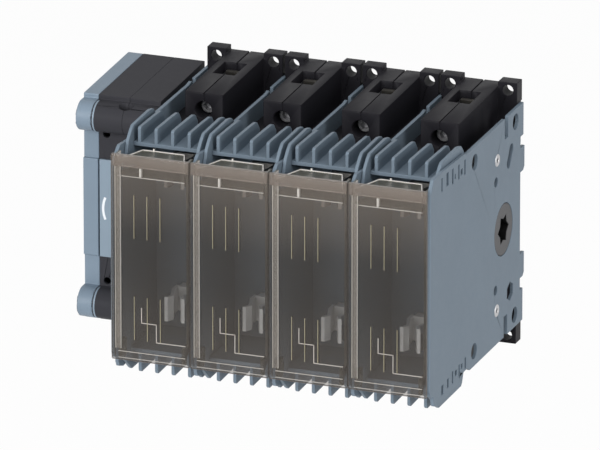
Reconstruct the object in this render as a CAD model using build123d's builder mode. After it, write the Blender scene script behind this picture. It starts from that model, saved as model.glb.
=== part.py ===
from build123d import *
import math
import os

os.makedirs("parts", exist_ok=True)

# Fuse switch disconnector with four poles and an operating mechanism on its left side.
# X runs to the right, Y to the rear and Z up. The origin is the centre of the mounting
# holes, on the plane of the mounting plate. Depths are measured back from the front face
# of the covers, and at() turns a depth into Y. An inset is measured forward from the
# mounting plane.

# Overall layout
pole_count = 4
pole_pitch = 35.6
overall_depth = 121.0
plate_height = 99.0
plate_t = 1.6
side_gap = 0.2
running_gap = 0.3

# Side and partition plates
rear_edge_inset = 1.5
rear_recess_inset = 5.2
foot_top = 29.6
foot_bottom = 18.6
foot_chamfer = 1.6
notch_top = 34.8
tie_slot_inset = 23.4
tie_slot_width = 4.2
tie_slot_length = 9.3

# Edges of the plates between the front and the tie slot, as depth and height over the
# plain edge: the top of the right end plate, the top of the others, and the bottom
plate_corner = 3.5
high_top_edge = [(6.2, 1.9), (8.0, 2.5), (45.5, 0.9), (46.7, 0.0)]
low_corner = 6.9
low_top_edge = [(8.0, -2.3), (10.2, -0.9), (21.0, -1.9), (50.0, -0.6), (92.0, -0.6)]
bottom_edge = [(52.5, 0.0), (49.5, -2.0), (39.5, -1.4), (38.1, 0.9), (12.6, 2.5), (8.0, 0.9)]
bay_inset = 1.4
bay_step = 3.2
bay_clearance = 1.5

# Holes of the end plates, as depth or inset and height
access_hole_r = 3.5
front_access = (57.6, 42.6)
rear_access_inset = 11.7
rear_access_z = 43.8
small_access_r = 2.15
small_access_inset = 36.4
small_access_z = 24.5
sloped_slot_length = 11.0
sloped_slot_width = 4.4
sloped_slot_inset = 18.6
sloped_slot_z = 30.6
sloped_slot_angle = 58.0
hex_hole_r = 4.3
hex_hole_inset = 17.8
hex_hole_z = -31.0

# Vent slots in the end plates, as depth, height of the middle, length and width
top_vents = [(16.6, 45.9, 6.0, 1.4), (23.5, 46.2, 5.8, 2.6), (29.9, 45.3, 6.7, 1.8),
             (33.2, 44.2, 2.2, 1.2), (37.6, 44.8, 6.3, 1.6), (41.1, 43.7, 2.6, 2.4),
             (45.2, 44.4, 6.6, 1.6)]
bottom_vents = [(17.9, -46.4, 4.2, 2.4), (24.8, -45.8, 4.0, 1.8), (30.7, -45.2, 5.5, 1.5),
                (34.8, -44.5, 2.4, 2.2), (39.0, -45.1, 5.5, 1.4), (42.2, -44.0, 2.2, 1.8),
                (46.7, -44.3, 5.1, 1.6)]

# Covers: heights of the latch and the upper ribs are measured down from the top of the
# cover, all others up from its bottom
cover_top = 48.0
cover_height = 92.5
pane_t = 2.0
pane_gap = 0.2
pane_round = 0.8
skirt_t = 1.4
skirt_depth = 5.6
skirt_inset = 1.0
skirt_end_rise = 8.5
ear_t = 1.7
ear_r = 2.5
ear_rise = 8.0
pin_r = 1.3
pin_gap = 0.06
hinge_depth = 5.2
hinge_rise = 2.0
latch_depth = 15.0
latch_front_width = 30.0
latch_rear_width = 19.0
latch_drop = 3.1
latch_height = 6.7
latch_wall = 1.2
latch_web_x = -4.4
rib_t = 0.7
rib_depth = 1.0
rib_length = 19.5
rib_xs = (-7.8, -1.9, 4.0)
upper_rib_drop = 18.2
lower_rib_rise = 9.2
step_line = [(-4.5, 23.8), (-4.5, 17.2), (2.2, 17.2), (2.2, 9.1), (15.2, 9.1)]

# Fuse chambers
wall_t = 1.45
chamber_front = 8.0
chamber_back = 50.0
chamber_back_t = 2.0
deck_top = 46.6
deck_t = 1.7
top_fin_front = 21.3
bottom_fin_front = 17.1
fin_t = 1.45
fin_spacing = 7.5
fin_count = 4
fin_height = 6.9
bottom_fin_height = 9.0
fin_back = 46.9
fin_fall = 0.6
fin_root = 2.1
fin_rear_round = 2.4
tip_cut = 1.6
hinge_boss_r = 2.8

# Upper edge of a chamber wall, as depth and height over the deck
wall_foot = -8.6
wall_crest = [(13.8, -2.9), (16.0, 2.4), (21.8, 7.4), (41.5, 7.8), (46.5, 6.0)]

# Terminal bases
base_gap = 0.2
base_rear_inset = 3.6
base_half_height = 41.0
block_width = 17.2
block_top = 56.0
block_rise = 1.0
block_length = 56.0
lug_outer = 17.3
lug_top = 59.2
lug_t = 6.6
lug_foot = 30.0
lug_hole_r = 2.4
lug_hole_x = 13.1
lug_hole_z = 55.6
entry_x = -0.5
entry_width = 10.0
entry_length = 15.0
entry_rear_inset = 16.0
entry_floor = 38.0
screw_x = -0.3
screw_z = 48.4
access_bore_r = 3.8
groove_width = 0.5
groove_depth = 0.6

# Conductors
bar_t = 2.5
bar_side_gap = 0.15
bar_gap = 0.3
bar_end_drop = 3.4
strip_z = 26.0
contact_reach = 3.0
jaw_bar_offset = 20.5
jaw_front = 29.0
jaw_root = 44.0
jaw_wall = 1.0
jaw_height = 11.0
jaw_leaf_t = 1.5
jaw_gap = 3.0
jaw_swell = 2.4
jaw_bend_length = 4.0
jaw_flare_length = 3.0
jaw_flare = 1.6
clip_t = 0.8
clip_height = 7.0
clip_gap = 0.1
cage_t = 1.5
cage_height = 7.6
cage_gap = 0.2
screw_head_r = 3.5
screw_head_t = 5.0
screw_shank_r = 2.0
screw_hex_r = 2.0
screw_hex_depth = 2.5
screw_tip_reach = 4.3
screw_recess = 6.0

# Rotors and switch shaft
shaft_inset = 26.5
rotor_r = 11.3
rotor_gap = 0.3
rotor_end_gap = 0.15
star_points = 6
star_r = 6.8
star_root_r = 4.7
star_gap = 0.15
rotor_tube_r = 8.3
socket_depth = 6.0
contact_length = 28.0
contact_width = 7.0
contact_t = 3.0
contact_ring_r = 10.9
contact_ring_gap = 0.1
sweep_gap = 0.4

# Tie rivets
rivet_inset = 35.0
rivet_z = 34.0
rivet_r = 2.0
rivet_bore_r = 1.0
rivet_flange_r = 2.75
rivet_flange_t = 0.4

# Operating mechanism, centred a little below the poles
mech_z = -1.9
mech_width = 35.4
mech_gap = 1.6
mech_rear_inset = 1.6
mech_front_half = 51.1
mech_rear_half = 52.5
mech_wall = 2.0
side_shell_width = 7.0
left_case_width = 14.3
boss_r = 6.7
boss_z = 42.4
boss_nose = 3.1
panel_half_height = 22.15
panel_proud = 1.2
panel_left = 7.5
inspection_r = 1.6
inspection_x = 10.5
inspection_z = 33.4
boss_slot_length = 6.6
boss_slot_width = 5.5
boss_slot_inset = 4.2
boss_slot_depth = 6.0
rivet_collar_r = 4.6

# Gearing of the mechanism
gear_module = 1.4
gear_teeth = 14
tooth_tip = 0.8
backlash = 0.7
gear_width = 8.0
tooth_slope = 20.0
spindle_r = 7.0
spindle_socket = 8.2
socket_hole_depth = 12.0
spindle_neck = 4.8
rack_step = 4.3
collar_t = 2.0
rack_length = 52.0
rack_rest_z = -8.2
rack_first_tooth = -6
rack_last_tooth = 1
second_rack_inset = 18.4
rail_reach = 40.0
rail_height = 3.4
rail_t = 2.4
shaft_overrun = 1.0
pinion_step = 0.5
pinion_hub_r = 8.4
spring_strip = 1.0
spring_turns = 6
spring_width = 7.0
spring_side_gap = 0.5
spring_depth = 5.0

# Values worked out from the sizes above
plate_half = plate_height / 2
rear_edge = overall_depth - rear_edge_inset
rear_recess = overall_depth - rear_recess_inset
tie_slot_depth = overall_depth - tie_slot_inset
cover_bottom = cover_top - cover_height
hinge_height = cover_bottom + hinge_rise
bay_depth = hinge_depth + bay_clearance
cover_width = pole_pitch - pane_gap
pane_back = pane_t + pane_gap
inner_half = (pole_pitch - plate_t) / 2 - side_gap
base_front = chamber_back + base_gap
base_rear = overall_depth - base_rear_inset
block_front = overall_depth - block_length
entry_rear = overall_depth - entry_rear_inset
entry_front = entry_rear - entry_length
shaft_depth = overall_depth - shaft_inset
rivet_depth = overall_depth - rivet_inset
rivet_places = [(rivet_depth, rivet_z), (rivet_depth, -rivet_z)]
bar_width = entry_width - 2 * (cage_gap + cage_t + bar_side_gap)
jaw_bar_depth = shaft_depth - jaw_bar_offset
gear_r = gear_module * gear_teeth / 2
rack_rear = shaft_depth - gear_r - gear_module
spindle_gear_back = rack_rear - rack_step
spindle_gear_front = spindle_gear_back - gear_width
mech_front = spindle_gear_front - spindle_neck
mech_rear = overall_depth - mech_rear_inset
block_half = pole_count * pole_pitch / 2 + plate_t / 2
mech_right = -block_half - mech_gap
mech_left = mech_right - mech_width
mech_seam = mech_left + side_shell_width
mech_parting = mech_seam + left_case_width
spindle_x = (mech_left + panel_left + mech_right) / 2
second_rack_end = mech_right - second_rack_inset
pole_numbers = range(1, pole_count + 1)


def at(depth):
    return depth - overall_depth


def placed(points):
    return [(at(depth), height) for depth, height in points]


def pole_x(number):
    return (number - (pole_count + 1) / 2) * pole_pitch


def boundary_x(number):
    return (number - pole_count / 2) * pole_pitch


def write(piece, name):
    piece.part.label = name
    export_step(piece.part, f"parts/{name}.step")


# Outline of a plate: front edge with the hinge bay at its foot, top edge, slot near the
# rear, notches and feet at the mounting plate
slot_front = tie_slot_depth - tie_slot_width / 2
slot_back = tie_slot_depth + tie_slot_width / 2
slot_floor = plate_half - tie_slot_length
upper_rear = [(slot_front, plate_half), (slot_front, slot_floor), (slot_back, slot_floor),
              (slot_back, plate_half), (rear_edge, plate_half), (rear_edge, notch_top),
              (rear_recess, notch_top), (rear_recess, foot_top), (overall_depth, foot_top),
              (overall_depth, foot_bottom + foot_chamfer), (overall_depth - foot_chamfer, foot_bottom),
              (rear_recess, foot_bottom)]
lower_rear = [(rear_recess, -foot_bottom), (overall_depth, -foot_bottom),
              (overall_depth, foot_chamfer - foot_top), (overall_depth - foot_chamfer, -foot_top),
              (rear_recess, -foot_top), (rear_recess, -notch_top), (rear_edge, -notch_top),
              (rear_edge, -plate_half), (slot_back, -plate_half), (slot_back, -slot_floor),
              (slot_front, -slot_floor), (slot_front, -plate_half)]
front_foot = [(bay_depth, bay_inset - plate_half), (bay_depth, hinge_height - bay_step),
              (hinge_depth, hinge_height - hinge_boss_r), (hinge_depth, hinge_height),
              (pane_back, hinge_height)]


def plate_outline(corner, top_edge):
    top = [(pane_back, plate_half - corner)] + [(depth, plate_half + rise) for depth, rise in top_edge]
    bottom = [(depth, -plate_half - rise) for depth, rise in bottom_edge]
    with BuildSketch(Plane.YZ) as outline:
        Polygon(*placed(top + upper_rear + lower_rear + bottom + front_foot))
        with Locations((at(hinge_depth), hinge_height)):
            Circle(hinge_boss_r)
    return outline.sketch_local


high_outline = plate_outline(plate_corner, high_top_edge)
low_outline = plate_outline(low_corner, low_top_edge)


def add_plate(x, outline, holes):
    with BuildPart() as plate:
        with BuildSketch(Plane.YZ.offset(x - plate_t / 2)):
            add(outline)
            with Locations((at(shaft_depth), 0)):
                Circle(rotor_r + rotor_gap, mode=Mode.SUBTRACT)
            with Locations(*placed(rivet_places)):
                Circle(rivet_r, mode=Mode.SUBTRACT)
            if holes:
                for depth, height in (front_access, (overall_depth - rear_access_inset, rear_access_z)):
                    with Locations(*placed([(depth, height), (depth, -height)])):
                        Circle(access_hole_r, mode=Mode.SUBTRACT)
                small_depth = overall_depth - small_access_inset
                with Locations(*placed([(small_depth, small_access_z), (small_depth, -small_access_z)])):
                    Circle(small_access_r, mode=Mode.SUBTRACT)
                with Locations(*placed([(overall_depth - sloped_slot_inset, sloped_slot_z)])):
                    SlotOverall(sloped_slot_length, sloped_slot_width, rotation=sloped_slot_angle,
                                mode=Mode.SUBTRACT)
                with Locations(*placed([(overall_depth - hex_hole_inset, hex_hole_z)])):
                    RegularPolygon(hex_hole_r, 6, rotation=90, mode=Mode.SUBTRACT)
                for depth, height, length, width in top_vents + bottom_vents:
                    with Locations(*placed([(depth, height)])):
                        Rectangle(width, length, mode=Mode.SUBTRACT)
        extrude(amount=plate_t)
    return plate


for number in range(pole_count + 1):
    is_end = number in (0, pole_count)
    outline = high_outline if number == pole_count else low_outline
    piece = add_plate(boundary_x(number), outline, is_end)
    if number == 0:
        write(piece, "end_plate_left")
    elif number == pole_count:
        write(piece, "end_plate_right")
    else:
        write(piece, f"partition_plate_{number}")

# Hollow tie rivets through all plates and bases, with a flange on each end plate
with BuildPart() as tie_rivets:
    for height in (rivet_z, -rivet_z):
        with BuildSketch(Plane.YZ.offset(-block_half - rivet_flange_t)):
            with Locations(*placed([(rivet_depth, height)])):
                Circle(rivet_r - running_gap / 2)
        extrude(amount=2 * (block_half + rivet_flange_t))
        for x in (-block_half - rivet_flange_t, block_half):
            with BuildSketch(Plane.YZ.offset(x)):
                with Locations(*placed([(rivet_depth, height)])):
                    Circle(rivet_flange_r)
            extrude(amount=rivet_flange_t)
        with BuildSketch(Plane.YZ.offset(-block_half - rivet_flange_t)):
            with Locations(*placed([(rivet_depth, height)])):
                Circle(rivet_bore_r)
        extrude(amount=2 * (block_half + rivet_flange_t), mode=Mode.SUBTRACT)
write(tie_rivets, "tie_rivets")

# Fuse chamber: two side walls that carry the outer fins and the hinge bosses, a deck at
# the top and bottom with four fins each, and a back wall with slots for the fuse jaws
fin_top = deck_top + fin_height
low_tip = -deck_top - bottom_fin_height
root = deck_top + fin_root
bay_top = low_tip + bottom_fin_front - bay_depth
wall_points = [(chamber_front, deck_top + wall_foot)]
wall_points += [(depth, deck_top + height) for depth, height in wall_crest]
wall_points += [(chamber_back, root), (chamber_back, -root), (fin_back, low_tip + fin_fall),
                (bottom_fin_front + tip_cut, low_tip + fin_fall), (bottom_fin_front, low_tip + tip_cut),
                (bay_depth, bay_top), (hinge_depth, hinge_height - hinge_boss_r),
                (hinge_depth, hinge_height + hinge_boss_r),
                (chamber_front, hinge_height + 2 * hinge_boss_r)]
top_fin_points = [(top_fin_front, deck_top), (top_fin_front, fin_top), (fin_back, fin_top - fin_fall),
                  (chamber_back, root), (chamber_back, deck_top)]
bottom_fin_points = [(bottom_fin_front, -deck_top), (bottom_fin_front, low_tip),
                     (fin_back, low_tip + fin_fall), (chamber_back, -root), (chamber_back, -deck_top)]
jaw_slot_height = bar_t + 2 * bar_gap
jaw_slot_width = bar_width + 2 * bar_gap


def round_fin_rear(sketch):
    rear = sketch.vertices().filter_by_position(Axis.X, at(fin_back) - 0.1, at(fin_back) + 0.1)
    fillet(rear, fin_rear_round)


for number in pole_numbers:
    x = pole_x(number)
    with BuildPart() as chamber:
        for wall_x in (x - inner_half, x + inner_half - wall_t):
            with BuildSketch(Plane.YZ.offset(wall_x)) as wall:
                Polygon(*placed(wall_points))
                round_fin_rear(wall)
                with Locations((at(hinge_depth), hinge_height)):
                    Circle(hinge_boss_r)
                    Circle(pin_r + pin_gap, mode=Mode.SUBTRACT)
            extrude(amount=wall_t)
        for fin in range(fin_count):
            fin_x = x + (fin - (fin_count - 1) / 2) * fin_spacing - fin_t / 2
            with BuildSketch(Plane.YZ.offset(fin_x)) as fins:
                Polygon(*placed(top_fin_points))
                Polygon(*placed(bottom_fin_points))
                round_fin_rear(fins)
            extrude(amount=fin_t)
        with BuildSketch(Plane.YZ.offset(x - inner_half)):
            Polygon(*placed([(top_fin_front, deck_top - deck_t), (top_fin_front, deck_top),
                             (chamber_back, deck_top), (chamber_back, deck_top - deck_t)]))
            Polygon(*placed([(bottom_fin_front, deck_t - deck_top), (bottom_fin_front, -deck_top),
                             (chamber_back, -deck_top), (chamber_back, deck_t - deck_top)]))
            Polygon(*placed([(chamber_back - chamber_back_t, deck_top), (chamber_back, deck_top),
                             (chamber_back, -deck_top), (chamber_back - chamber_back_t, -deck_top)]))
        extrude(amount=2 * inner_half)
        with BuildSketch(Plane.XZ.offset(-at(chamber_back))):
            with Locations((x + entry_x, strip_z), (x + entry_x, -strip_z)):
                Rectangle(jaw_slot_width, jaw_slot_height)
        extrude(amount=chamber_back_t, mode=Mode.SUBTRACT)
    write(chamber, f"fuse_chamber_{number}")

# Smoked cover: pane with skirts, a latch box behind its top edge, moulded ribs, and two
# ears whose pins turn in the hinge bosses of the chamber
skirt_end = cover_bottom + skirt_end_rise
ear_top = cover_bottom + ear_rise
latch_top = cover_top - latch_drop
latch_bottom = latch_top - latch_height
rib_middles = (cover_top - upper_rib_drop - rib_length / 2, cover_bottom + lower_rib_rise + rib_length / 2)
step_points = [(across, cover_bottom + rise) for across, rise in step_line]
skirt_x = cover_width / 2 - skirt_inset - skirt_t
ear_x = inner_half - wall_t - side_gap
for number in pole_numbers:
    x = pole_x(number)
    pane_plane = Plane.XZ.offset(-at(pane_t))
    with BuildPart() as cover:
        with BuildSketch(pane_plane):
            with Locations((x, cover_top - cover_height / 2)):
                Rectangle(cover_width, cover_height)
        extrude(amount=pane_t)
        front_rim = cover.faces().sort_by(Axis.Y)[0].edges()
        fillet(front_rim, pane_round)
        for height in (latch_top - latch_wall, latch_bottom):
            with BuildSketch(Plane.XY.offset(height)):
                Polygon((x - latch_front_width / 2, at(pane_t)), (x + latch_front_width / 2, at(pane_t)),
                        (x + latch_rear_width / 2, at(pane_t + latch_depth)),
                        (x - latch_rear_width / 2, at(pane_t + latch_depth)))
            extrude(amount=latch_wall)
        with BuildSketch(Plane.YZ.offset(x + latch_web_x - latch_wall / 2)):
            Polygon(*placed([(pane_t, latch_bottom), (pane_t, latch_top - latch_wall),
                             (pane_t + latch_depth, latch_top - latch_wall),
                             (pane_t + latch_depth, latch_bottom)]))
        extrude(amount=latch_wall)
        for side in (-1, 1):
            skirt_centre = x + side * (skirt_x + skirt_t / 2)
            ear_start = x + side * ear_x - (ear_t if side > 0 else 0)
            with BuildSketch(pane_plane):
                with Locations((skirt_centre, (cover_top - pane_round + skirt_end) / 2)):
                    Rectangle(skirt_t, cover_top - pane_round - skirt_end)
            extrude(amount=-skirt_depth)
            with BuildSketch(Plane.YZ.offset(ear_start)):
                Polygon(*placed([(pane_t, ear_top), (hinge_depth + ear_r, ear_top),
                                 (hinge_depth + ear_r, hinge_height), (hinge_depth, hinge_height - ear_r),
                                 (pane_t, hinge_height - ear_r / 2)]))
                with Locations((at(hinge_depth), hinge_height)):
                    Circle(ear_r)
            extrude(amount=ear_t)
            with BuildSketch(Plane.YZ.offset(x + side * ear_x)):
                with Locations((at(hinge_depth), hinge_height)):
                    Circle(pin_r)
            extrude(amount=side * (wall_t + side_gap - pane_gap / 4))
        rib_plane = Plane.XZ.offset(-at(pane_t))
        with BuildSketch(rib_plane):
            for rib_z in rib_middles:
                for rib_x in rib_xs:
                    with Locations((x + rib_x, rib_z)):
                        Rectangle(rib_t, rib_length)
        extrude(amount=-rib_depth)
        with BuildSketch(rib_plane):
            for (x0, z0), (x1, z1) in zip(step_points, step_points[1:]):
                with Locations((x + (x0 + x1) / 2, (z0 + z1) / 2)):
                    Rectangle(abs(x1 - x0) + rib_t, abs(z1 - z0) + rib_t)
        extrude(amount=-rib_depth)
    write(cover, f"fuse_cover_{number}")

# Paths of the copper bars in the YZ plane, as depth and height of their middle lines
bar_depth = entry_rear - cage_gap - cage_t - bar_t / 2
contact_z = contact_length / 2 + sweep_gap + bar_t / 2
jaw_back = jaw_root + jaw_wall
bar_end = block_top - bar_end_drop
line_path = [(shaft_depth - contact_reach, contact_z), (bar_depth, contact_z), (bar_depth, bar_end)]
jaw_path = [(jaw_back, strip_z), (jaw_bar_depth, strip_z), (jaw_bar_depth, -contact_z),
            (shaft_depth + contact_reach, -contact_z)]
load_path = [(jaw_back, -strip_z), (bar_depth, -strip_z), (bar_depth, -bar_end)]


def bar_profile(path, width):
    # Union of rectangles along a path of square turns, each a half width longer at both ends
    with BuildSketch(Plane.YZ) as profile:
        for (d0, z0), (d1, z1) in zip(path, path[1:]):
            with Locations((at((d0 + d1) / 2), (z0 + z1) / 2)):
                Rectangle(abs(d1 - d0) + width, abs(z1 - z0) + width)
    return profile.sketch_local


# Outlines of one jaw leaf and of one half of its steel clip, as depth and distance from the
# middle plane. The clip lies round the rear and the sides of the jaw.
jaw_near = jaw_gap / 2
jaw_wide = jaw_near + jaw_swell
jaw_bend = jaw_root - jaw_bend_length
jaw_waist = jaw_front + jaw_flare_length
jaw_points = [(jaw_back, 0), (jaw_back, jaw_wide + jaw_leaf_t), (jaw_bend, jaw_wide + jaw_leaf_t),
              (jaw_waist, jaw_near + jaw_leaf_t), (jaw_front, jaw_near + jaw_flare + jaw_leaf_t),
              (jaw_front, jaw_near + jaw_flare), (jaw_waist, jaw_near), (jaw_bend, jaw_wide),
              (jaw_back - jaw_leaf_t, jaw_wide), (jaw_back - jaw_leaf_t, 0)]
clip_wide = jaw_wide + jaw_leaf_t + clip_gap
clip_near = jaw_near + jaw_leaf_t + clip_gap
clip_back = jaw_back + clip_gap
clip_points = [(clip_back, 0), (clip_back + clip_t, 0), (clip_back + clip_t, clip_wide + clip_t),
               (jaw_bend, clip_wide + clip_t), (jaw_waist, clip_near + clip_t), (jaw_waist, clip_near),
               (jaw_bend, clip_wide), (clip_back, clip_wide)]

for number in pole_numbers:
    x = pole_x(number)
    bar_start = x + entry_x - bar_width / 2
    with BuildPart() as line_terminal:
        with BuildSketch(Plane.YZ.offset(bar_start)):
            add(bar_profile(line_path, bar_t))
        extrude(amount=bar_width)
    write(line_terminal, f"line_terminal_{number}")
    for name, path, low in (("upper_jaw", jaw_path, strip_z - bar_t / 2),
                            ("load_terminal", load_path, bar_t / 2 - strip_z - jaw_height)):
        with BuildPart() as conductor:
            with BuildSketch(Plane.YZ.offset(bar_start)):
                add(bar_profile(path, bar_t))
            extrude(amount=bar_width)
            with BuildSketch(Plane.XY.offset(low)):
                for side in (-1, 1):
                    Polygon(*[(x + side * across, at(depth)) for depth, across in jaw_points])
            extrude(amount=jaw_height)
        write(conductor, f"{name}_{number}")

with BuildPart() as jaw_springs:
    for x in map(pole_x, pole_numbers):
        for low in (strip_z + bar_t, -strip_z - bar_t - clip_height):
            with BuildSketch(Plane.XY.offset(low)):
                for side in (-1, 1):
                    Polygon(*[(x + side * across, at(depth)) for depth, across in clip_points])
            extrude(amount=clip_height)
write(jaw_springs, "jaw_springs")

# Clamp cages round the bar ends and the screws that press a cable against the bars
cage_width = entry_width - 2 * cage_gap
cage_length = entry_length - 2 * cage_gap
cage_middle = at((entry_front + entry_rear) / 2)
screw_seat = block_front + screw_recess + screw_head_t
screw_tip = entry_front + screw_tip_reach
with BuildPart() as clamp_cages:
    for number in pole_numbers:
        for side in (-1, 1):
            with BuildSketch(Plane.XY.offset(side * screw_z - cage_height / 2)):
                with Locations((pole_x(number) + entry_x, cage_middle)):
                    Rectangle(cage_width, cage_length)
                    Rectangle(cage_width - 2 * cage_t, cage_length - 2 * cage_t, mode=Mode.SUBTRACT)
            extrude(amount=cage_height)
            with BuildSketch(Plane.XZ.offset(-at(entry_front))):
                with Locations((pole_x(number) + screw_x, side * screw_z)):
                    Circle(screw_shank_r + running_gap)
            extrude(amount=-2 * cage_t, mode=Mode.SUBTRACT)
write(clamp_cages, "clamp_cages")

with BuildPart() as clamp_screws:
    for number in pole_numbers:
        for side in (-1, 1):
            centre = (pole_x(number) + screw_x, side * screw_z)
            with BuildSketch(Plane.XZ.offset(-at(screw_seat))):
                with Locations(centre):
                    Circle(screw_head_r)
            extrude(amount=screw_head_t)
            with BuildSketch(Plane.XZ.offset(-at(screw_seat))):
                with Locations(centre):
                    Circle(screw_shank_r)
            extrude(amount=screw_seat - screw_tip)
            with BuildSketch(Plane.XZ.offset(-at(screw_seat - screw_head_t))):
                with Locations(centre):
                    RegularPolygon(screw_hex_r, 6)
            extrude(amount=-screw_hex_depth, mode=Mode.SUBTRACT)
write(clamp_screws, "clamp_screws")

# Terminal base: body behind the chamber, a block with cable entry and screw access at the
# top and bottom, four mounting lugs and channels for the copper bars. It is moulded in two
# halves that meet on the middle plane of the pole.
block_rear_top = block_top + block_rise
for number in pole_numbers:
    x = pole_x(number)
    with BuildPart() as base:
        with BuildSketch(Plane.YZ.offset(x - inner_half)):
            Polygon(*placed([(base_front, -base_half_height), (base_rear, -base_half_height),
                             (base_rear, base_half_height), (base_front, base_half_height)]))
        extrude(amount=2 * inner_half)
        with BuildSketch(Plane.YZ.offset(x - block_width / 2)):
            Polygon(*placed([(block_front, -block_top), (overall_depth, -block_rear_top),
                             (overall_depth, block_rear_top), (block_front, block_top)]))
        extrude(amount=block_width)
        with BuildSketch(Plane.XZ):
            for side in (-1, 1):
                for end in (-1, 1):
                    with Locations((x + side * (block_width / 2 + inner_half) / 2,
                                    end * (lug_top + lug_foot) / 2)):
                        Rectangle(inner_half - block_width / 2, lug_top - lug_foot)
                    with Locations((x + side * (block_width / 2 + lug_outer) / 2,
                                    end * (lug_top + plate_half + side_gap) / 2)):
                        Rectangle(lug_outer - block_width / 2, lug_top - plate_half - side_gap)
                    with Locations((x + side * lug_hole_x, end * lug_hole_z)):
                        Circle(lug_hole_r, mode=Mode.SUBTRACT)
        extrude(amount=lug_t)
        with BuildSketch(Plane.YZ.offset(x - inner_half)):
            with Locations((at(shaft_depth), 0)):
                Circle(rotor_r + rotor_gap)
            with Locations(*placed(rivet_places)):
                Circle(rivet_r)
        extrude(amount=2 * inner_half, mode=Mode.SUBTRACT)
        with BuildSketch(Plane.YZ.offset(x + entry_x - bar_width / 2 - bar_gap)):
            with Locations((at(shaft_depth), 0)):
                Circle(contact_length / 2 + sweep_gap)
            for path in (line_path, jaw_path, load_path):
                add(bar_profile(path, bar_t + 2 * bar_gap))
        extrude(amount=bar_width + 2 * bar_gap, mode=Mode.SUBTRACT)
        for side in (-1, 1):
            with BuildSketch(Plane.XY.offset(side * entry_floor)):
                with Locations((x + entry_x, cage_middle)):
                    Rectangle(entry_width, entry_length)
            extrude(amount=side * (block_rear_top - entry_floor), mode=Mode.SUBTRACT)
            with BuildSketch(Plane.XZ.offset(-at(block_front))):
                with Locations((x + screw_x, side * screw_z)):
                    Circle(access_bore_r)
            extrude(amount=block_front - screw_seat - side_gap, mode=Mode.SUBTRACT)
            with BuildSketch(Plane.XZ.offset(-at(block_front))):
                with Locations((x + screw_x, side * screw_z)):
                    Circle(screw_shank_r + running_gap)
            extrude(amount=block_front - entry_front - cage_t, mode=Mode.SUBTRACT)
            with BuildSketch(Plane.YZ.offset(x - groove_width / 2)):
                Polygon(*placed([(block_front, side * (block_top - groove_depth)),
                                 (overall_depth, side * (block_rear_top - groove_depth)),
                                 (overall_depth, side * (block_rear_top + groove_depth)),
                                 (block_front, side * (block_top + groove_depth))]))
            extrude(amount=groove_width, mode=Mode.SUBTRACT)
    for name, keep in (("left", Keep.BOTTOM), ("right", Keep.TOP)):
        with BuildPart() as half:
            add(base.part)
            split(bisect_by=Plane.YZ.offset(x), keep=keep)
        write(half, f"terminal_base_{name}_{number}")


def star(radius, root):
    points = []
    for step in range(2 * star_points):
        reach = radius if step % 2 == 0 else root
        angle = math.pi * step / star_points
        points.append((at(shaft_depth) + reach * math.cos(angle), reach * math.sin(angle)))
    return points


# Rotor: plain drum with a star bore, and a ring groove that holds the moving contact. The
# first and the last one reach through the end plates.
rotor_half = pole_pitch / 2 - rotor_end_gap
end_reach = plate_t / 2
for number in pole_numbers:
    x = pole_x(number)
    rotor_start = x - rotor_half - (end_reach if number == 1 else 0)
    rotor_stop = x + rotor_half + (end_reach if number == pole_count else 0)
    with BuildPart() as rotor:
        with BuildSketch(Plane.YZ.offset(rotor_start)):
            with Locations((at(shaft_depth), 0)):
                Circle(rotor_r)
            Polygon(*star(star_r + star_gap, star_root_r + star_gap), mode=Mode.SUBTRACT)
        extrude(amount=rotor_stop - rotor_start)
        with BuildSketch(Plane.YZ.offset(x + entry_x - contact_t / 2 - contact_ring_gap)):
            with Locations((at(shaft_depth), 0)):
                Circle(rotor_r + rotor_gap)
                Circle(rotor_tube_r, mode=Mode.SUBTRACT)
        extrude(amount=contact_t + 2 * contact_ring_gap, mode=Mode.SUBTRACT)
    write(rotor, f"rotor_{number}")
    with BuildPart() as moving_contact:
        with BuildSketch(Plane.YZ.offset(x + entry_x - contact_t / 2)):
            with Locations((at(shaft_depth), 0)):
                Circle(contact_ring_r)
                Rectangle(contact_length, contact_width)
                Circle(contact_length / 2, mode=Mode.INTERSECT)
                Circle(rotor_tube_r + contact_ring_gap, mode=Mode.SUBTRACT)
        extrude(amount=contact_t)
    write(moving_contact, f"moving_contact_{number}")

shaft_end = rotor_stop - socket_depth
shaft_start = mech_seam - shaft_overrun
with BuildPart() as switch_shaft:
    with BuildSketch(Plane.YZ.offset(shaft_start)):
        Polygon(*star(star_r, star_root_r))
    extrude(amount=shaft_end - shaft_start)
write(switch_shaft, "switch_shaft")

# Case of the mechanism: a box with a round-nosed boss along its front at the top and bottom
nose = mech_front - boss_nose
inner_front = mech_front + mech_wall
inner_half_height = mech_front_half - mech_wall
with BuildSketch(Plane.YZ) as case_outline:
    Polygon(*placed([(mech_front, mech_z - mech_front_half), (mech_rear, mech_z - mech_rear_half),
                     (mech_rear, mech_z + mech_rear_half), (mech_front, mech_z + mech_front_half)]))
    for side in (-1, 1):
        with Locations((at((nose + inner_front) / 2), mech_z + side * boss_z)):
            Rectangle(inner_front - nose, 2 * boss_r)
        with Locations((at(nose), mech_z + side * boss_z)):
            Circle(boss_r)
inner_rear = mech_rear - mech_wall
case_inner = placed([(inner_front, mech_z - inner_half_height), (inner_rear, mech_z - inner_half_height),
                     (inner_rear, mech_z + inner_half_height), (inner_front, mech_z + inner_half_height)])
rack_left = mech_left + mech_wall + running_gap
rack_root_x = spindle_x - gear_r - gear_module


def case_part(start, width, inner_start, inner_width):
    with BuildPart() as case:
        with BuildSketch(Plane.YZ.offset(start)):
            add(case_outline.sketch_local)
        extrude(amount=width)
        with BuildSketch(Plane.YZ.offset(inner_start)):
            Polygon(*case_inner)
        extrude(amount=inner_width, mode=Mode.SUBTRACT)
    return case


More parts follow.
